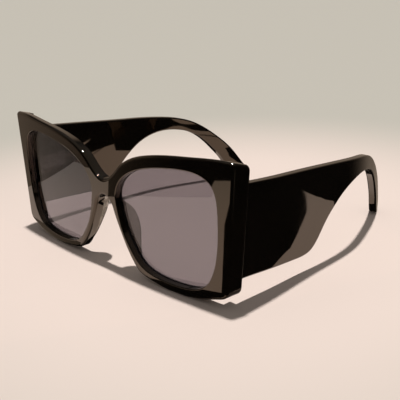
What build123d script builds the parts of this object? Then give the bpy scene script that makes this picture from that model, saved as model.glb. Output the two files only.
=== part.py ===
from build123d import *
import math
import os

os.makedirs("parts", exist_ok=True)

# Butterfly sunglasses, standing open on a table, in millimetres.
# X runs across the face with the wearer's left at +X, Y runs from the front to the ear tips, Z is up.
# The model is drawn with Y zero on the front of the bridge, then moved so that its box is centred.

# Front
front_width = 139.4
front_height = 57.1
front_depth = 4.4
wrap_share = 4.2324
side_taper = 3.9
rear_taper = 5.2
rear_flare = 1.9
top_rake_share = 0.31
top_corner_radius = 2.0
low_corner_radius = 4.5
low_corner_height = 5.2
chin_fall_share = 0.42
bridge_arch_share = 0.55
bridge_share = 0.1226
rest_length = 5.0
rest_share = 0.574
front_edge_round = 1.2
rim_edge_round = 0.4

# Lens openings, lenses and the groove that holds them
lens_gap = 16.2
side_rim = 7.7
brow_rim = 6.7
lens_rise = 3.4
lens_setback = 2.5
lens_thickness = 1.5
lens_seat_gap = 0.08
opening_stations = 60
bevel_height = 0.7
bevel_width = 0.6
groove_clearance = 0.06

# End blocks behind the outer corners of the front
block_width = 5.8
block_rear = 11.0
block_round = 0.5

# Nose pads behind the nasal rims
pad_depth_share = 0.0911
pad_flare = 2.3
pad_root = 2.6
pad_tip = 1.7
pad_root_margin = 0.1
pad_round = 0.5

# Temples
temple_thickness = 3.8
temple_reach = 122.9
temple_root_share = 0.850
tip_inset = 24.9
tip_radius = 4.4
tip_fall = 53.0
butt_gap = 0.1
temple_round = 0.7

# Core wires inside the temples
wire_radius = 0.7
wire_clearance = 0.05
wire_start = 2.0
wire_bend_radius = 14.0
wire_lift_share = 0.375

# Hinges
hinge_share = 0.6305
barrel_radius = 1.5
barrel_gap = 0.15
knuckle_count = 5
knuckle_height = 1.7
knuckle_gap = 0.1
notch_clearance = 0.3
notch_end_gap = 0.6
plate_thickness = 1.2
plate_fit = 0.03
plate_corner = 0.6
front_plate_width = 4.4
front_plate_shift = 0.7
front_plate_height = 17.0
temple_plate_start = 2.3
temple_plate_length = 11.5
temple_plate_height = 6.4

# Hinge screws and the small screws that hold the leaves
pin_radius = 0.7
pin_bore_gap = 0.03
pin_head_radius = 1.15
pin_head_height = 0.5
pin_tail = 0.3
slot_width = 0.3
slot_depth = 0.25
fixing_radius = 0.6
fixing_head_radius = 1.05
fixing_head_height = 0.6
front_fixing_wall = 0.3
temple_fixing_wall = 0.8
fixing_fit = 0.03
front_fixing_spread = 12.8
temple_fixing_near = 4.4
temple_fixing_pitch = 4.8

# One overrun serves every cutting body
overrun = 3.0

# Outline of the half front, as shares of half the width and of the height
brow_shares = (
    (0.076, 0.715), (0.117, 0.760), (0.163, 0.813), (0.214, 0.854),
    (0.271, 0.887), (0.371, 0.924), (0.514, 0.956), (0.714, 0.983),
)
chin_shares = ((0.857, 0.053), (0.779, 0.024), (0.700, 0.009))
nose_shares = (
    (0.443, 0.010), (0.357, 0.026), (0.286, 0.054), (0.243, 0.103), (0.197, 0.180),
    (0.161, 0.256), (0.123, 0.347), (0.086, 0.448), (0.066, 0.504),
)

# Outline of a lens opening, as shares of its width and height from its lower nasal corner
opening_shares = (
    (0.000, 0.605), (0.026, 0.452), (0.084, 0.281), (0.142, 0.184), (0.200, 0.105), (0.268, 0.050),
    (0.368, 0.015), (0.506, 0.000), (0.645, 0.004), (0.765, 0.022), (0.848, 0.058), (0.911, 0.128),
    (0.957, 0.238), (0.988, 0.397), (1.000, 0.578), (0.998, 0.737), (0.983, 0.856), (0.943, 0.935),
    (0.868, 0.982), (0.730, 1.000), (0.566, 0.985), (0.414, 0.957), (0.266, 0.912), (0.144, 0.848),
    (0.061, 0.773), (0.016, 0.695),
)

# Temple top line: share of the reach, share of the tip inset, share of the root height, lean of the face
temple_line_shares = (
    (0.105, 0.013, 0.971, 0.075), (0.211, 0.051, 0.944, 0.045), (0.310, 0.091, 0.918, 0.015),
    (0.406, 0.119, 0.893, -0.010), (0.512, 0.143, 0.866, -0.020), (0.603, 0.200, 0.838, -0.020),
    (0.683, 0.304, 0.805, -0.010), (0.752, 0.425, 0.750, 0.000), (0.815, 0.545, 0.656, 0.000),
    (0.881, 0.686, 0.515, 0.000), (0.935, 0.815, 0.367, 0.000), (1.060, 1.140, -0.090, 0.000),
)
# Temple lower line, as shares of the reach and of the root height, from the tip to the front
temple_under_shares = (
    (0.900, 0.220), (0.859, 0.367), (0.812, 0.504), (0.763, 0.600),
    (0.688, 0.665), (0.630, 0.677), (0.551, 0.645), (0.490, 0.582), (0.442, 0.502), (0.410, 0.436),
    (0.380, 0.356), (0.347, 0.262), (0.317, 0.208), (0.284, 0.190), (0.235, 0.192), (0.105, 0.214),
    (0.000, 0.231),
)

# Stations of the core wire along the reach, each with its place between the top line and the lower line
wire_stations_shares = (
    (0.310, 0.26), (0.560, 0.44), (0.700, 0.50), (0.790, 0.50), (0.880, 0.50), (0.950, 0.46),
)

# Nose pad sections: share of the front height, share of the pad depth, share of the flare
pad_sections_shares = (
    (0.530, 0.10, 0.10), (0.490, 0.62, 0.35), (0.440, 0.96, 0.75), (0.375, 1.00, 1.00),
    (0.310, 0.88, 1.00), (0.240, 0.62, 0.75), (0.180, 0.38, 0.45), (0.115, 0.12, 0.15),
)

# Values worked out from the sizes above
half_width = front_width / 2
wrap_radius = front_width * wrap_share
bridge_arch_height = front_height * bridge_arch_share
bridge_height = front_height * bridge_share
rest_centre = half_width * rest_share
lens_width = half_width - lens_gap / 2 - side_rim
lens_height = front_height - lens_rise - brow_rim
pad_depth = front_height * pad_depth_share
temple_root_height = front_height * temple_root_share
hinge_height = temple_root_height * hinge_share
side_height = front_height - low_corner_height
side_slope = side_taper / side_height
rear_slope = rear_taper / side_height
slant = math.atan(rear_slope)
temple_start = block_rear + butt_gap
stack_height = knuckle_count * knuckle_height + (knuckle_count - 1) * knuckle_gap
hinge_y = block_rear + barrel_radius + barrel_gap
corner_behind = wrap_radius - math.sqrt(wrap_radius ** 2 - half_width ** 2)
side_run = block_rear - corner_behind
front_fixing_length = side_run - front_depth - front_fixing_wall
temple_fixing_length = temple_thickness - temple_fixing_wall


def side_x(height):
    """Where the slanted side of the front stands at a height."""
    return half_width - side_slope * (front_height - height)


def rear_side_x(height):
    """Where the flared side stands at the rear of the end block."""
    return half_width + rear_flare - rear_slope * (front_height - height)


def wrap_sag(x):
    """How far the curved front falls back at a distance from the middle."""
    return wrap_radius - math.sqrt(wrap_radius ** 2 - x ** 2)


def between(low, high, share):
    """A value part of the way from one to another."""
    return low + (high - low) * share


def table_value(table, place, column):
    """Read a column of a table of shares at a place in its first column, by straight lines."""
    for one, two in zip(table, table[1:]):
        inside = min(one[0], two[0]) <= place <= max(one[0], two[0])
        if inside:
            return between(one[column], two[column], (place - one[0]) / (two[0] - one[0]))
    return table[0][column] if place < table[0][0] else table[-1][column]


def rounded_corner(before, corner, after, radius):
    """Both ends of the arc that rounds a corner between two directions."""
    turn = math.radians(before.get_angle(after))
    reach = radius * math.tan(turn / 2)
    return corner - before * reach, corner + after * reach


def front_outline(depth):
    """The outline of the whole front at a depth: to the rear its top falls and its sides spread."""

    def high(x, z):
        inboard = 1 - abs(x) / half_width
        rake = top_rake_share * (1 - inboard ** 2)
        return Vector(x, depth, z - rake * (depth - wrap_sag(x)))

    def low(x, z):
        return Vector(x, depth, z)

    def side(z):
        back = (depth - corner_behind) / side_run
        return low(between(side_x(z), rear_side_x(z), back), z)

    level = Vector(1, 0, 0)
    side_fall = (side(0) - side(front_height)).normalized()
    chin_way = Vector(-1, 0, -chin_fall_share).normalized()
    brow = [high(x * half_width, z * front_height) for x, z in brow_shares]
    chin = [low(x * half_width, z * front_height) for x, z in chin_shares]
    nose = [low(x * half_width, z * front_height) for x, z in nose_shares]
    corner_fall = top_rake_share * (depth - corner_behind)
    top_corner = side(front_height - corner_fall)
    low_corner = side(low_corner_height)
    top_in, top_out = rounded_corner(level, top_corner, side_fall, top_corner_radius)
    low_in, low_out = rounded_corner(side_fall, low_corner, chin_way, low_corner_radius)
    rest_out = low(rest_centre + rest_length / 2, 0)
    rest_in = low(rest_centre - rest_length / 2, 0)
    bridge_top = high(0, bridge_arch_height + bridge_height)
    bridge_arch = low(0, bridge_arch_height)

    def other(point):
        return Vector(-point.X, point.Y, point.Z)

    brow_line = [top_in] + brow[::-1] + [bridge_top] + [other(p) for p in brow] + [other(top_in)]
    nose_line = [rest_in] + nose + [bridge_arch] + [other(p) for p in nose[::-1]] + [other(rest_in)]
    brow_edge = Spline(*brow_line, tangents=[level * -1, level * -1])
    nose_edge = Spline(*nose_line, tangents=[level * -1, level * -1])
    side_edges = [
        TangentArc(top_in, top_out, tangent=level),
        Line(top_out, low_in),
        TangentArc(low_in, low_out, tangent=side_fall),
        Spline(low_out, *chin, rest_out, tangents=[chin_way, level * -1]),
        Line(rest_out, rest_in),
    ]
    other_edges = [mirror(edge, about=Plane.YZ) for edge in side_edges]
    return make_face([brow_edge, nose_edge] + side_edges + other_edges)


def front_blank():
    """The solid that the front and the end blocks are cut from."""
    return loft([front_outline(0), front_outline(block_rear)], ruled=True)


def opening_face(grow=0):
    """The face of the left lens opening, grown or shrunk by a distance."""
    nasal = lens_gap / 2
    points = [(nasal + x * lens_width, 0, lens_rise + z * lens_height) for x, z in opening_shares]
    rim = Spline(*points, periodic=True)
    if grow:
        middle_point = Vector(nasal + lens_width / 2, 0, lens_rise + lens_height / 2)
        moved = []
        for mark in range(opening_stations):
            place = rim.position_at(mark / opening_stations)
            way = rim.tangent_at(mark / opening_stations)
            side = Vector(way.Z, 0, -way.X)
            side = side if side.dot(place - middle_point) > 0 else side * -1
            moved.append(place + side * grow)
        rim = Spline(*moved, periodic=True)
    return make_face(rim)


def through(face, depth):
    """A face of the front pushed back through a depth."""
    return extrude(face, amount=depth, dir=(0, 1, 0))


def wrap_drum(depth):
    """The round body whose near wall is the curved surface at a depth behind the front."""
    tall = front_height + 2 * overrun
    return Pos(0, wrap_radius, front_height / 2) * Cylinder(wrap_radius - depth, tall)


def wrap_layer(near, far):
    """The curved layer between two depths behind the front."""
    return wrap_drum(near) - wrap_drum(far)


def both_sides(shape):
    """A shape and its mirror image across the middle."""
    return [shape, mirror(shape, about=Plane.YZ)]


def front_face(plate):
    """The curved face that looks forward."""
    curved = plate.faces().filter_by(GeomType.CYLINDER).sort_by(SortBy.AREA)[-2:]
    return curved.sort_by(Axis.Y)[0]


def frame_front():
    """Rims and bridge in one curved plate, with rounded edges and a groove for each lens."""
    reach = front_depth + wrap_sag(half_width) + overrun
    plate = front_blank() & wrap_layer(0, front_depth)
    plate = plate.solids()[0]
    plate = fillet(front_face(plate).edges(), front_edge_round)
    for hole in both_sides(through(opening_face(), reach)):
        plate = plate - hole
    plate = plate.solids()[0]
    rims = [edge for wire in front_face(plate).inner_wires() for edge in wire.edges()]
    plate = fillet(rims, rim_edge_round)
    groove_half = bevel_width / 2 + groove_clearance
    middle = lens_setback + lens_thickness / 2
    grown = through(opening_face(bevel_height + groove_clearance), reach)
    groove = grown & wrap_layer(middle - groove_half, middle + groove_half)
    for cut in both_sides(groove):
        plate = plate - cut
    return plate.solids()[0]


def lens():
    """The left lens: a curved plate with a bevel round its edge."""
    reach = front_depth + wrap_sag(half_width) + overrun
    body = through(opening_face(-lens_seat_gap), reach)
    body = body & wrap_layer(lens_setback, lens_setback + lens_thickness)
    middle = lens_setback + lens_thickness / 2
    bevel = through(opening_face(bevel_height), reach)
    bevel = bevel & wrap_layer(middle - bevel_width / 2, middle + bevel_width / 2)
    return (body + bevel).solids()[0]


def hinge_plane():
    """The hinge's own axes: X out of the side, Y to the rear, Z up the hinge axis."""
    centre = (rear_side_x(hinge_height) - temple_thickness / math.cos(slant), hinge_y, hinge_height)
    out = (math.cos(slant), 0, -math.sin(slant))
    return Plane(origin=centre, x_dir=out, z_dir=(math.sin(slant), 0, math.cos(slant)))


def slab(x_low, x_high, y_low, y_high, z_low, z_high):
    """A box between two corners."""
    size = (x_high - x_low, y_high - y_low, z_high - z_low)
    return Pos((x_low + x_high) / 2, (y_low + y_high) / 2, (z_low + z_high) / 2) * Box(*size)


def knuckles(first):
    """Every other knuckle of the stack, as pairs of low and high ends."""
    step = knuckle_height + knuckle_gap
    base = -stack_height / 2
    return [(base + i * step, base + i * step + knuckle_height) for i in range(first, knuckle_count, 2)]


def drum(radius, low, high):
    """A round bar along the hinge axis."""
    return Pos(0, 0, (low + high) / 2) * Cylinder(radius, high - low)


def front_plate(grow=0):
    """The flat of the front leaf, sunk in the rear of the end block."""
    seat = -barrel_radius - barrel_gap
    half = front_plate_width / 2 + grow
    tall = front_plate_height / 2 + grow
    low = front_plate_shift - half
    high = front_plate_shift + half
    plate = slab(low, high, seat - plate_thickness, seat, -tall, tall)
    return fillet(plate.edges().filter_by(Axis.Y), plate_corner)


def temple_plate(grow=0):
    """The flat of the temple leaf, sunk in the inner face of the temple."""
    tall = temple_plate_height / 2 + grow
    low = temple_plate_start - grow
    high = temple_plate_start + temple_plate_length + grow
    plate = slab(0, plate_thickness, low, high, -tall, tall)
    return fillet(plate.edges().filter_by(Axis.X), plate_corner)


def front_fixing_places():
    """Where the two screws of the front leaf stand, looking out of the plate's face."""
    seat = -barrel_radius - barrel_gap
    spots = (front_fixing_spread / 2, -front_fixing_spread / 2)
    return [Pos(front_plate_shift, seat, z) * Rot(90, 0, 0) * Rot(180, 0, 0) for z in spots]


def temple_fixing_places():
    """Where the two screws of the temple leaf stand, looking out of the plate's face."""
    near = temple_plate_start + temple_fixing_near
    spots = (near, near + temple_fixing_pitch)
    return [Pos(0, y, 0) * Rot(0, -90, 0) for y in spots]


def fixing_screw(length, grow=0):
    """A countersunk screw of a length whose head face is at zero and whose shank goes down."""
    head = Cone(fixing_radius + grow, fixing_head_radius + grow, fixing_head_height)
    head = Pos(0, 0, -fixing_head_height / 2) * head
    shank_length = length - fixing_head_height
    shank = Cylinder(fixing_radius + grow, shank_length)
    screw = head + Pos(0, 0, -fixing_head_height - shank_length / 2) * shank
    if grow:
        return screw
    slot = Pos(0, 0, -slot_depth / 2) * Box(2 * fixing_head_radius + overrun, slot_width, slot_depth)
    return (screw - slot).solids()[0]


def fixing_holes(places, length):
    """The holes that the small screws need."""
    return [place * fixing_screw(length, fixing_fit) for place in places]


def screw_set(places, length):
    """The small screws of one leaf, on their places."""
    return Compound([hinge_plane().location * place * fixing_screw(length) for place in places])


def pin_hole():
    """The bore of every knuckle."""
    return drum(pin_radius + pin_bore_gap, -stack_height, stack_height)


def front_leaf():
    """The front leaf: a tall plate with three knuckles."""
    leaf = front_plate()
    seat = -barrel_radius - barrel_gap
    for low, high in knuckles(0):
        leaf = leaf + drum(barrel_radius, low, high)
        leaf = leaf + slab(-barrel_radius, barrel_radius, seat, 0, low, high)
    leaf = leaf - pin_hole()
    head_seat = stack_height / 2 - pin_head_height
    leaf = leaf - drum(pin_head_radius + pin_bore_gap, head_seat, stack_height)
    for hole in fixing_holes(front_fixing_places(), front_fixing_length):
        leaf = leaf - hole
    return leaf.solids()[0]


def temple_leaf():
    """The temple leaf: a long plate with two knuckles."""
    leaf = temple_plate()
    for low, high in knuckles(1):
        leaf = leaf + drum(barrel_radius, low, high)
        leaf = leaf + slab(0, plate_thickness, 0, temple_plate_start + plate_corner, low, high)
    leaf = leaf - pin_hole()
    for hole in fixing_holes(temple_fixing_places(), temple_fixing_length):
        leaf = leaf - hole
    return leaf.solids()[0]


def hinge_screw():
    """The screw on the hinge axis, with a slotted head sunk in the top knuckle."""
    top = stack_height / 2
    low = -stack_height / 2 - pin_tail
    screw = drum(pin_radius, low, top) + drum(pin_head_radius, top - pin_head_height, top)
    half_slot = slot_width / 2
    slot = slab(-pin_head_radius, pin_head_radius, -half_slot, half_slot, top - slot_depth, top + overrun)
    return (screw - slot).solids()[0]


def end_block():
    """The block behind the left outer corner, with a pocket for the front leaf."""
    top = front_height + overrun
    corners = [
        (rear_side_x(-overrun) - block_width, 0, -overrun),
        (rear_side_x(-overrun) + overrun, 0, -overrun),
        (rear_side_x(top) + overrun, 0, top),
        (rear_side_x(top) - block_width, 0, top),
    ]
    strip = make_face(Polyline(*corners, close=True))
    block = front_blank() & through(strip, block_rear) & wrap_drum(front_depth)
    block = block.solids()[0]
    rear = block.faces().sort_by(Axis.Y)[-1]
    block = fillet(rear.edges(), block_round)
    block = block - hinge_plane().location * front_plate(plate_fit)
    for hole in fixing_holes(front_fixing_places(), front_fixing_length):
        block = block - hinge_plane().location * hole
    return block.solids()[0]


def pad_band(y, near, far):
    """The left nose pad seen from the front at a depth, between two distances from the rim's edge."""
    inner = []
    outer = []
    for height, depth, flare in pad_sections_shares:
        z = height * front_height
        edge = table_value(nose_points(), z, 1) + pad_root_margin
        inner.append((edge + near * flare, y, z))
        outer.append((edge + near * flare + far, y, z))
    inner_line = Spline(*inner)
    outer_line = Spline(*outer)
    ends = [Line(inner_line @ 0, outer_line @ 0), Line(inner_line @ 1, outer_line @ 1)]
    return make_face([inner_line, outer_line] + ends)


def nose_points():
    """The nasal outline of the left rim as heights and places across."""
    return [(z * front_height, x * half_width) for x, z in nose_shares]


def pad_profile():
    """The left nose pad seen from the side."""
    heights = [row[0] * front_height for row in pad_sections_shares]
    rear = [(0, front_depth + pad_depth * row[1], z) for row, z in zip(pad_sections_shares, heights)]
    line = Spline(*rear)
    top = (0, 0, heights[0])
    low = (0, 0, heights[-1])
    return make_face([line, Line(line @ 1, low), Line(low, top), Line(top, line @ 0)])


def nose_pad():
    """The left nose pad, a flared wing cemented behind the nasal rim."""
    near = pad_band(0, 0, pad_root)
    far = pad_band(front_depth + pad_depth, pad_flare, pad_tip)
    wing = loft([near, far])
    side = extrude(pad_profile(), amount=half_width, dir=(1, 0, 0))
    pad = (wing & side & wrap_drum(front_depth)).solids()[0]
    behind = [edge for edge in pad.edges() if edge.center().Y > front_depth + pad_round]
    return fillet([edge for edge in behind if edge.length > pad_depth], pad_round)


def temple_point(row):
    """A point of the top line of the left temple."""
    run, inset, height, lean = row
    return (
        temple_start + run * temple_reach,
        rear_side_x(temple_root_height) - inset * tip_inset,
        height * temple_root_height,
        lean,
    )


def temple_rows():
    """Every station of the temple's top line, from the front to the tip."""
    first = (temple_start, rear_side_x(temple_root_height), temple_root_height, rear_slope)
    return [first] + [temple_point(row) for row in temple_line_shares]


def temple_band(height):
    """The temple seen from above, as a band cut at a height."""
    outer_points = [(x + lean * (height - top), y, height) for y, x, top, lean in temple_rows()]
    lead_point = (outer_points[0][0], temple_start - overrun, height)
    outer_points = [lead_point] + outer_points
    outer = Spline(*outer_points)
    marks = range(len(outer_points))
    inner_points = []
    for mark in marks:
        place = mark / marks[-1]
        way = outer.tangent_at(place)
        side = Vector(-way.Y, way.X, 0).normalized()
        inner_points.append(outer.position_at(place) + side * temple_thickness)
    inner = Spline(*inner_points)
    ends = [Line(outer @ 0, inner @ 0), Line(outer @ 1, inner @ 1)]
    return make_face([outer, inner] + ends)


def temple_profile():
    """The temple seen from the side, ending in a round tip that touches the table."""
    fall = math.radians(tip_fall)
    way = Vector(0, math.cos(fall), -math.sin(fall))
    across = Vector(0, math.sin(fall), math.cos(fall))
    centre = Vector(0, temple_start + temple_reach - tip_radius, tip_radius)
    top = [(0, y, z) for y, x, z, lean in temple_rows()[:-1]]
    under = [
        (0, temple_start + run * temple_reach, height * temple_root_height)
        for run, height in temple_under_shares
    ]
    tip_out = centre + across * tip_radius
    tip_in = centre - across * tip_radius
    root_way = Vector(*top[1]) - Vector(*top[0])
    level = Vector(*under[-1]) - Vector(*under[-2])
    top_line = Spline(*top, tip_out, tangents=[root_way, way])
    tip = ThreePointArc(tip_out, centre + way * tip_radius, tip_in)
    under_line = Spline(tip_in, *under, tangents=[way * -1, level])
    return make_face([top_line, tip, under_line, Line(under_line @ 1, top_line @ 0)])


def wire_path():
    """The middle line of the core wire, bent with the ear end of the temple."""
    rows = temple_rows()
    under = [(run, height * temple_root_height) for run, height in temple_under_shares]

    def place(y, z):
        lean = table_value(rows, y, 3)
        x = table_value(rows, y, 1) + lean * (z - table_value(rows, y, 2))
        return (x - temple_thickness / 2, y, z)

    above_hinge = hinge_height + temple_plate_height / 2
    wire_height = between(above_hinge, temple_root_height, wire_lift_share)
    points = [place(temple_start + wire_start, wire_height)]
    for run, fall in wire_stations_shares:
        y = temple_start + run * temple_reach
        top = table_value(rows, y, 2)
        low = table_value(under, run, 1)
        points.append(place(y, between(top, low, fall)))
    return points


def wire_body(points, radius):
    """A round wire along the path."""
    path = FilletPolyline(*points, radius=wire_bend_radius)
    start = Plane(origin=path @ 0, z_dir=path % 0)
    return sweep(start * Circle(radius), path=path).solids()[0]


def temple_and_wire():
    """The left temple with its hinge recesses, and the wire inside it."""
    low = -overrun
    high = front_height + overrun
    blank = loft([temple_band(low), temple_band(high)], ruled=True)
    side = extrude(temple_profile(), amount=half_width + overrun, dir=(1, 0, 0))
    temple = (blank & side).solids()[0]
    flats = temple.faces().sort_by(SortBy.AREA)[-2:]
    edges = [edge for face in flats for edge in face.edges()]
    long_edges = [edge for edge in edges if edge.bounding_box().size.Y > overrun]
    temple = fillet(long_edges, temple_round)
    hinge = hinge_plane().location
    reach = barrel_radius + notch_clearance
    tall = stack_height / 2 + notch_end_gap
    notch = drum(reach, -tall, tall) + slab(-overrun, reach, -overrun, 0, -tall, tall)
    notch = notch + slab(-overrun, 0, -overrun, reach, -tall, tall)
    temple = temple - hinge * notch
    plate_half = temple_plate_height / 2 + plate_fit
    plate_deep = plate_thickness + plate_fit
    pocket = slab(0, plate_deep, 0, temple_plate_start + plate_corner, -plate_half, plate_half)
    temple = temple - hinge * pocket
    temple = temple - hinge * temple_plate(plate_fit)
    for hole in fixing_holes(temple_fixing_places(), temple_fixing_length):
        temple = temple - hinge * hole
    points = wire_path()
    wire = wire_body(points, wire_radius)
    entry = (points[0][0], temple_start - overrun, points[0][2])
    bore = wire_body(points, wire_radius + wire_clearance)
    temple = temple - bore
    lead = Plane(origin=points[0], z_dir=Vector(*entry) - Vector(*points[0]))
    lead_length = wire_start + overrun
    temple = temple - extrude(lead * Circle(wire_radius + wire_clearance), amount=lead_length)
    return temple.solids()[0], wire


front = frame_front()
left_lens = lens()
left_block = end_block()
left_pad = nose_pad()
left_temple, left_wire = temple_and_wire()
hinge_spot = hinge_plane().location
left_parts = {
    "lens": left_lens,
    "end_block": left_block,
    "nose_pad": left_pad,
    "temple": left_temple,
    "core_wire": left_wire,
    "hinge_front_leaf": hinge_spot * front_leaf(),
    "hinge_temple_leaf": hinge_spot * temple_leaf(),
    "hinge_screw": hinge_spot * hinge_screw(),
    "front_leaf_screws": screw_set(front_fixing_places(), front_fixing_length),
    "temple_leaf_screws": screw_set(temple_fixing_places(), temple_fixing_length),
}

depth_centre = (front.bounding_box().min.Y + left_temple.bounding_box().max.Y) / 2
middle = Pos(0, -depth_centre, 0)
export_step(middle * front, "parts/frame_front.step")
for name, shape in left_parts.items():
    left_shape, right_shape = both_sides(middle * shape)
    export_step(left_shape, "parts/" + name + "_left.step")
    export_step(right_shape, "parts/" + name + "_right.step")

hinge_centre = hinge_plane().origin
print("depth centre", depth_centre, "hinge", hinge_centre.X, hinge_centre.Y - depth_centre, hinge_centre.Z)
print("hinge axis", math.sin(slant), 0, math.cos(slant))
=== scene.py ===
import math

import bpy
from mathutils import Matrix, Vector

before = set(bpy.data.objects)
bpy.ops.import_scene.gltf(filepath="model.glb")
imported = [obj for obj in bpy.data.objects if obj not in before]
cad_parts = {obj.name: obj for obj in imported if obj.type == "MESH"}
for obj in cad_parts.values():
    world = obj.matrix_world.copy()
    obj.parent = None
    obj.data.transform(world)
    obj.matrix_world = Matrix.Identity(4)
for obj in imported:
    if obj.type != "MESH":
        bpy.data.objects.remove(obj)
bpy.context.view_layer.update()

SIDES = ("left", "right")
MM = 0.001

# Camera, where the photograph was taken from
CAMERA_PLACE = Vector((224.622, -227.384, 122.221)) * MM
CAMERA_RIGHT = Vector((0.6989627, 0.7145313, -0.0299362))
CAMERA_DOWN = Vector((0.2132143, -0.2481592, -0.9449639))
CAMERA_FORWARD = Vector((-0.6826352, 0.6541117, -0.3258023))
CAMERA_SENSOR_WIDTH = 36.0
CAMERA_FOCAL_LENGTH = 63.32
CAMERA_NEAR_LIMIT = 0.01
CAMERA_FAR_LIMIT = 20

# Floor: one wide square, warm round the object and cooler further off, with its lengths in metres
FLOOR_REACH = 6.0
FLOOR_WARM_REACH = 0.09
FLOOR_COOL_REACH = 0.26
FLOOR_COLOUR = (0.88, 0.74, 0.665)
FLOOR_FAR_COLOUR = (0.56, 0.53, 0.465)
FLOOR_MOTTLE_SHADE = 0.985
FLOOR_ROUGHNESS = 0.85
FLOOR_SPECULAR = 0.2

# Patches of the floor that shiny surfaces mirror, with corners in mm along and across a slanting line
PATCH_START = Vector((-31.9, 127.8)) * MM
PATCH_ALONG = Vector((-0.42, -0.907)).normalized()
PATCH_ACROSS = Vector((-PATCH_ALONG.y, PATCH_ALONG.x))
PATCH_LIFT = 0.01 * MM
PATCHES = {
    "front": ((212, 0), (290, 0), (290, 47), (246, 68), (256, 141), (290, 143), (290, 158),
              (220, 158.5), (148, 165), (157, 131), (142, 124), (142, 95), (170, 92), (181, 87)),
    "rear": ((56, 0), (140, 0), (140, 172), (130, 172), (70, 163), (-6, 163), (-6, 156),
             (33, 150), (34, 96), (50, 82), (56, 60)),
}

# Light: a far lamp almost overhead, a little behind, and a weak fill
KEY_DIRECTION = Vector((-0.03, 0.068, 0.997)).normalized()
KEY_ANGLE = math.radians(2.5)
KEY_STRENGTH = 2.65
KEY_COLOUR = (1.0, 0.985, 0.97)
FILL_STRENGTH = 0.20
FILL_COLOUR = (1.0, 0.97, 0.93)

# What shiny surfaces mirror round the floor: a wall behind and a dark room, each soft border as a pair
WALL_DIRECTION = (-0.85, 0.53, 0.0)
WALL_COLOUR = (0.33, 0.26, 0.20)
WALL_SIDES = (0.1, 0.8)
WALL_FOOT = (-0.6, -0.45)
WALL_TOP = (0.6, 0.4)
ROOM_COLOUR = (0.010, 0.009, 0.008)
CEILING_COLOUR = (0.14, 0.135, 0.125)
CEILING_EDGE = (0.5, 0.8)

# Where a noise value takes the darker and the lighter colour of a material
NOISE_PLACES = (0.3, 0.7)
CLOUD_PLACES = (0.2, 0.8)

# Black acetate of the front and the temples, with the depth of its waves in metres
ACETATE_COLOURS = ((0.0012, 0.0009, 0.0006), (0.0035, 0.0025, 0.0018))
ACETATE_ROUGHNESS = (0.015, 0.045)
ACETATE_IOR = 1.85
ACETATE_TINT = (1.0, 0.80, 0.61)
ACETATE_WAVE_DEPTH = 0.000006

# Lenses, which show a dull edge where the surface turns away from front and back
LENS_COLOURS = ((0.225, 0.205, 0.228), (0.245, 0.223, 0.246))
LENS_IOR = 1.5
LENS_SHADOW_COLOUR = (0.42, 0.38, 0.40)
LENS_FACE = (0.6, 0.8)
LENS_EDGE_COLOURS = ((0.010, 0.009, 0.010), (0.022, 0.020, 0.021))
LENS_EDGE_ROUGHNESS = 0.55

# Acetate of the nose pads
PAD_COLOURS = ((0.33, 0.30, 0.26), (0.42, 0.385, 0.335))
PAD_ROUGHNESS = 0.12
PAD_IOR = 1.49
PAD_TRANSMISSION = 0.85
PAD_COAT = 0.6
PAD_COAT_ROUGHNESS = 0.03

# Metals: the roughness runs between two shares of a middle value, and the grain has a depth in metres
METAL_ROUGHNESS_SHARES = (0.7, 1.4)
METAL_GRAIN_DEPTH = 0.00001


def new_material(name):
    """An empty node material with a Principled shader on its output."""
    material = bpy.data.materials.new(name)
    material.use_nodes = True
    tree = material.node_tree
    tree.nodes.clear()
    output = tree.nodes.new("ShaderNodeOutputMaterial")
    shader = tree.nodes.new("ShaderNodeBsdfPrincipled")
    tree.links.new(shader.outputs["BSDF"], output.inputs["Surface"])
    return material, tree, shader


def noise(tree, scale, detail, roughness=0.5, stretch=None):
    """Noise over the object's own coordinates, with its scale in waves a metre."""
    place = tree.nodes.new("ShaderNodeTexCoord")
    vector = place.outputs["Object"]
    if stretch:
        mapping = tree.nodes.new("ShaderNodeMapping")
        mapping.inputs["Scale"].default_value = stretch
        tree.links.new(vector, mapping.inputs["Vector"])
        vector = mapping.outputs["Vector"]
    texture = tree.nodes.new("ShaderNodeTexNoise")
    texture.inputs["Scale"].default_value = scale
    texture.inputs["Detail"].default_value = detail
    texture.inputs["Roughness"].default_value = roughness
    tree.links.new(vector, texture.inputs["Vector"])
    return texture.outputs["Fac"]


def ramp(tree, value, colours, places=NOISE_PLACES):
    """A colour ramp over value, from a darker colour at the first place to a lighter one at the second."""
    node = tree.nodes.new("ShaderNodeValToRGB")
    for element, place, colour in zip(node.color_ramp.elements, places, colours):
        element.position = place
        element.color = (*colour, 1)
    tree.links.new(value, node.inputs["Fac"])
    return node.outputs["Color"]


def spread(tree, value, low, high):
    """Value, from 0 to 1, mapped to run from low to high."""
    node = tree.nodes.new("ShaderNodeMapRange")
    node.inputs["To Min"].default_value = low
    node.inputs["To Max"].default_value = high
    tree.links.new(value, node.inputs["Value"])
    return node.outputs["Result"]


def band(tree, value, low, high):
    """From 0 at low to 1 at high, with a soft start and end."""
    node = tree.nodes.new("ShaderNodeMapRange")
    node.interpolation_type = "SMOOTHSTEP"
    node.inputs["From Min"].default_value = low
    node.inputs["From Max"].default_value = high
    tree.links.new(value, node.inputs["Value"])
    return node.outputs["Result"]


def reckoned(tree, operation, *values):
    """The result of one operation on one or two values."""
    node = tree.nodes.new("ShaderNodeMath")
    node.operation = operation
    for value, socket in zip(values, node.inputs):
        tree.links.new(value, socket)
    return node.outputs["Value"]


def part_of(tree, vector, axis):
    """One part of a vector."""
    node = tree.nodes.new("ShaderNodeSeparateXYZ")
    tree.links.new(vector, node.inputs["Vector"])
    return node.outputs[axis]


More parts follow.
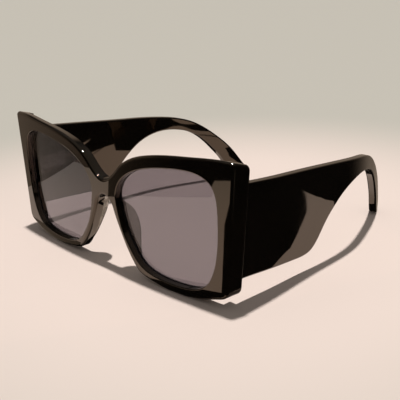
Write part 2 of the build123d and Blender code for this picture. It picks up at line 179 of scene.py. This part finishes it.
def mixed(tree, share, first, second):
    """A mix of two shaders, all of the second one where the share is 1."""
    node = tree.nodes.new("ShaderNodeMixShader")
    tree.links.new(share, node.inputs["Fac"])
    tree.links.new(first, node.inputs[1])
    tree.links.new(second, node.inputs[2])
    return node.outputs["Shader"]


def bump(tree, shader, height, depth):
    """A bump on the shader, with its depth in metres."""
    node = tree.nodes.new("ShaderNodeBump")
    node.inputs["Strength"].default_value = 1.0
    node.inputs["Distance"].default_value = depth
    tree.links.new(height, node.inputs["Height"])
    tree.links.new(node.outputs["Normal"], shader.inputs["Normal"])


def black_acetate():
    """Polished black acetate: a deep warm black with a faint swirl and a slightly wavy gloss."""
    material, tree, shader = new_material("black_acetate")
    swirl = noise(tree, scale=60, detail=4, stretch=(1, 0.4, 1))
    tree.links.new(ramp(tree, swirl, ACETATE_COLOURS), shader.inputs["Base Color"])
    haze = noise(tree, scale=250, detail=3)
    tree.links.new(spread(tree, haze, *ACETATE_ROUGHNESS), shader.inputs["Roughness"])
    shader.inputs["IOR"].default_value = ACETATE_IOR
    shader.inputs["Specular Tint"].default_value = (*ACETATE_TINT, 1)
    bump(tree, shader, noise(tree, scale=90, detail=1), ACETATE_WAVE_DEPTH)
    return material


def smoke_lens():
    """Tinted lens: clear smoke grey with faint clouds and a hard gloss, and a dull dark edge."""
    material, tree, shader = new_material("smoke_lens")
    cloud = noise(tree, scale=25, detail=1)
    tree.links.new(ramp(tree, cloud, LENS_COLOURS, CLOUD_PLACES), shader.inputs["Base Color"])
    shader.inputs["Roughness"].default_value = 0.0
    shader.inputs["IOR"].default_value = LENS_IOR
    shader.inputs["Transmission Weight"].default_value = 1.0
    edge = tree.nodes.new("ShaderNodeBsdfPrincipled")
    grain = noise(tree, scale=900, detail=3)
    tree.links.new(ramp(tree, grain, LENS_EDGE_COLOURS), edge.inputs["Base Color"])
    edge.inputs["Roughness"].default_value = LENS_EDGE_ROUGHNESS
    normal = tree.nodes.new("ShaderNodeNewGeometry").outputs["True Normal"]
    face = band(tree, reckoned(tree, "ABSOLUTE", part_of(tree, normal, "Y")), *LENS_FACE)
    light_path = tree.nodes.new("ShaderNodeLightPath")
    clear = tree.nodes.new("ShaderNodeBsdfTransparent")
    clear.inputs["Color"].default_value = (*LENS_SHADOW_COLOUR, 1)
    body = mixed(tree, light_path.outputs["Is Shadow Ray"], shader.outputs["BSDF"], clear.outputs["BSDF"])
    output = next(node for node in tree.nodes if node.type == "OUTPUT_MATERIAL")
    tree.links.new(mixed(tree, face, edge.outputs["BSDF"], body), output.inputs["Surface"])
    return material


def pad_acetate():
    """Thin polished acetate of the nose pads, smoky where light comes through it."""
    material, tree, shader = new_material("pad_acetate")
    swirl = noise(tree, scale=160, detail=3)
    tree.links.new(ramp(tree, swirl, PAD_COLOURS), shader.inputs["Base Color"])
    shader.inputs["Roughness"].default_value = PAD_ROUGHNESS
    shader.inputs["IOR"].default_value = PAD_IOR
    shader.inputs["Transmission Weight"].default_value = PAD_TRANSMISSION
    shader.inputs["Coat Weight"].default_value = PAD_COAT
    shader.inputs["Coat Roughness"].default_value = PAD_COAT_ROUGHNESS
    return material


def metal(name, colours, roughness, scale, stretch):
    """Steel with drawn or brushed grain along one direction."""
    material, tree, shader = new_material(name)
    lines = noise(tree, scale, detail=5, roughness=0.7, stretch=stretch)
    tree.links.new(ramp(tree, lines, colours), shader.inputs["Base Color"])
    shader.inputs["Metallic"].default_value = 1.0
    limits = [roughness * share for share in METAL_ROUGHNESS_SHARES]
    tree.links.new(spread(tree, lines, *limits), shader.inputs["Roughness"])
    bump(tree, shader, lines, METAL_GRAIN_DEPTH)
    return material


def dress(material, *stems):
    """Gives every slot of the CAD nodes with these stems, alone or on both sides, the material."""
    for stem in stems:
        for name in [stem] + [f"{stem}_{side}" for side in SIDES]:
            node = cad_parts.get(name)
            if node is None:
                continue
            for slot in node.material_slots:
                slot.material = material


def plane(name, corners, material):
    """A flat staged face through the corners."""
    mesh = bpy.data.meshes.new(name)
    mesh.from_pydata(corners, [], [tuple(range(len(corners)))])
    mesh.materials.append(material)
    made = bpy.data.objects.new(name, mesh)
    bpy.context.scene.collection.objects.link(made)
    return made


def floor_material():
    """Matt pale floor with the faintest mottle, warm round the object and cooler far away."""
    material, tree, shader = new_material("pale_floor")
    place = tree.nodes.new("ShaderNodeTexCoord")
    length = tree.nodes.new("ShaderNodeVectorMath")
    length.operation = "LENGTH"
    tree.links.new(place.outputs["Object"], length.inputs[0])
    away = band(tree, length.outputs["Value"], FLOOR_WARM_REACH, FLOOR_COOL_REACH)
    mottle = noise(tree, scale=12, detail=5)
    darker = tuple(channel * FLOOR_MOTTLE_SHADE for channel in FLOOR_COLOUR)
    mix = tree.nodes.new("ShaderNodeMix")
    mix.data_type = "RGBA"
    near_in, far_in = [socket for socket in mix.inputs if socket.type == "RGBA"]
    far_in.default_value = (*FLOOR_FAR_COLOUR, 1)
    tree.links.new(away, mix.inputs[0])
    tree.links.new(ramp(tree, mottle, (darker, FLOOR_COLOUR)), near_in)
    colour_out = next(socket for socket in mix.outputs if socket.type == "RGBA")
    tree.links.new(colour_out, shader.inputs["Base Color"])
    shader.inputs["Roughness"].default_value = FLOOR_ROUGHNESS
    shader.inputs["Specular IOR Level"].default_value = FLOOR_SPECULAR
    return material


def make_floor():
    """The floor, and just over it the patches that only shiny surfaces see, in place of the floor itself."""
    material = floor_material()
    turns = ((-1, -1), (1, -1), (1, 1), (-1, 1))
    floor = plane("floor", [(x * FLOOR_REACH, y * FLOOR_REACH, 0) for x, y in turns], material)
    floor.visible_glossy = False
    for name, corners in PATCHES.items():
        places = [PATCH_START + (PATCH_ALONG * along + PATCH_ACROSS * across) * MM
                  for along, across in corners]
        patch = plane(f"floor_{name}", [(place.x, place.y, PATCH_LIFT) for place in places], material)
        patch.visible_camera = False
        patch.visible_diffuse = False
        patch.visible_transmission = False
        patch.visible_shadow = False


def background(tree, colour, strength=1.0):
    """A background shader of one colour."""
    node = tree.nodes.new("ShaderNodeBackground")
    node.inputs["Color"].default_value = (*colour, 1)
    node.inputs["Strength"].default_value = strength
    return node.outputs["Background"]


def make_world():
    """A pale backdrop to the eye, a wall and a dark room to shiny surfaces, and a weak fill light."""
    world = bpy.data.worlds.new("studio")
    bpy.context.scene.world = world
    world.use_nodes = True
    tree = world.node_tree
    tree.nodes.clear()
    output = tree.nodes.new("ShaderNodeOutputWorld")
    way = tree.nodes.new("ShaderNodeTexCoord").outputs["Generated"]
    facing = tree.nodes.new("ShaderNodeVectorMath")
    facing.operation = "DOT_PRODUCT"
    facing.inputs[1].default_value = WALL_DIRECTION
    tree.links.new(way, facing.inputs[0])
    height = part_of(tree, way, "Z")
    behind = band(tree, facing.outputs["Value"], *WALL_SIDES)
    level = reckoned(tree, "MULTIPLY", band(tree, height, *WALL_FOOT), band(tree, height, *WALL_TOP))
    room = mixed(tree, band(tree, height, *CEILING_EDGE), background(tree, ROOM_COLOUR),
                 background(tree, CEILING_COLOUR))
    wall = reckoned(tree, "MULTIPLY", behind, level)
    mirrored = mixed(tree, wall, room, background(tree, WALL_COLOUR))
    path = tree.nodes.new("ShaderNodeLightPath")
    fill = background(tree, FILL_COLOUR, FILL_STRENGTH)
    felt = mixed(tree, path.outputs["Is Glossy Ray"], fill, mirrored)
    to_eye = reckoned(tree, "MAXIMUM", path.outputs["Is Camera Ray"], path.outputs["Is Transmission Ray"])
    seen = background(tree, FLOOR_FAR_COLOUR)
    tree.links.new(mixed(tree, to_eye, felt, seen), output.inputs["Surface"])


def far_lamp(name, direction, angle, strength, colour):
    """A lamp far off in the given direction, as wide as the angle seen from the object."""
    data = bpy.data.lights.new(name, "SUN")
    data.angle = angle
    data.energy = strength
    data.color = colour
    lamp = bpy.data.objects.new(name, data)
    lamp.location = direction
    lamp.rotation_mode = "QUATERNION"
    lamp.rotation_quaternion = direction.to_track_quat("Z", "Y")
    bpy.context.scene.collection.objects.link(lamp)


def make_camera():
    """The camera, placed and turned as it was for the photograph."""
    data = bpy.data.cameras.new("camera")
    data.sensor_width = CAMERA_SENSOR_WIDTH
    data.lens = CAMERA_FOCAL_LENGTH
    data.clip_start = CAMERA_NEAR_LIMIT
    data.clip_end = CAMERA_FAR_LIMIT
    camera = bpy.data.objects.new("camera", data)
    turn = Matrix((CAMERA_RIGHT, -CAMERA_DOWN, -CAMERA_FORWARD)).transposed()
    camera.matrix_world = Matrix.Translation(CAMERA_PLACE) @ turn.to_4x4()
    bpy.context.scene.collection.objects.link(camera)
    bpy.context.scene.camera = camera


make_camera()
make_floor()
make_world()
far_lamp("key", KEY_DIRECTION, KEY_ANGLE, KEY_STRENGTH, KEY_COLOUR)

dress(black_acetate(), "frame_front", "end_block", "temple")
dress(smoke_lens(), "lens")
dress(pad_acetate(), "nose_pad")
steel = metal("brushed_steel", colours=((0.45, 0.43, 0.41), (0.62, 0.60, 0.57)),
              roughness=0.22, scale=900, stretch=(1, 1, 0.05))
screw = metal("turned_steel", colours=((0.52, 0.50, 0.47), (0.70, 0.68, 0.64)),
              roughness=0.16, scale=1400, stretch=(1, 1, 0.2))
wire = metal("drawn_wire", colours=((0.46, 0.44, 0.42), (0.60, 0.58, 0.55)),
             roughness=0.25, scale=900, stretch=(1, 0.05, 1))
dress(steel,"hinge_front_leaf", "hinge_temple_leaf")
dress(screw, "hinge_screw", "front_leaf_screws", "temple_leaf_screws")
dress(wire, "core_wire")

bpy.context.scene.view_settings.view_transform = "Standard"
